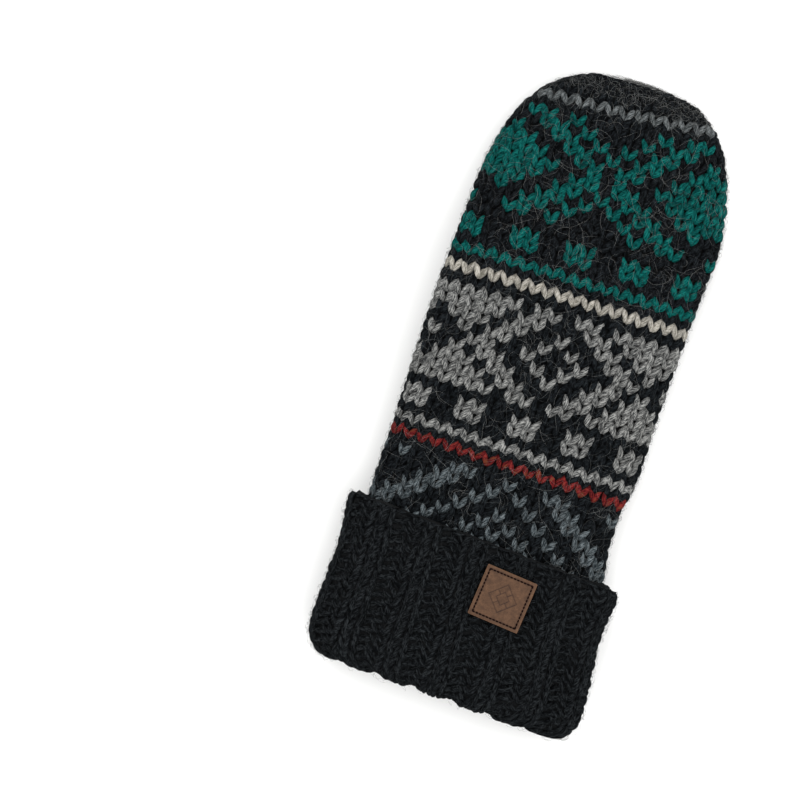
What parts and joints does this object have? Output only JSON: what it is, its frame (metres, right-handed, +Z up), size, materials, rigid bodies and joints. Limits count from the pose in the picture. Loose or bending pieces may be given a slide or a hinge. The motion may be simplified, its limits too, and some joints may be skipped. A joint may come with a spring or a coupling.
{
  "type": "knitted mitten",
  "caption": "Right-hand knitted mitten lying flat: patterned back, plain palm, folded thumb, turned-up ribbed cuff with a sewn leather patch.",
  "frame": {"origin": "on the surface that the mitten lies on, under the middle of its outline", "axes": "+Z up out of the back of the hand, +Y to the fingertips, -X to the thumb's side"},
  "size_m": [0.1092, 0.2472, 0.0303],
  "materials": {
    "patterned_wool": "stranded stockinette knit in black, teal, grey, cream and red wool, fuzzy",
    "black_wool": "plain stockinette knit in black wool, matte",
    "ribbed_wool": "two by two rib knit in black wool, matte",
    "leather": "smooth brown leather, matte, with a dark running stitch round its edge"
  },
  "bodies": {
    "root": {"hand_back": "patterned_wool", "hand_palm": "black_wool", "thumb": "black_wool", "cuff": "ribbed_wool", "patch": "leather"}
  },
  "joints": []
}
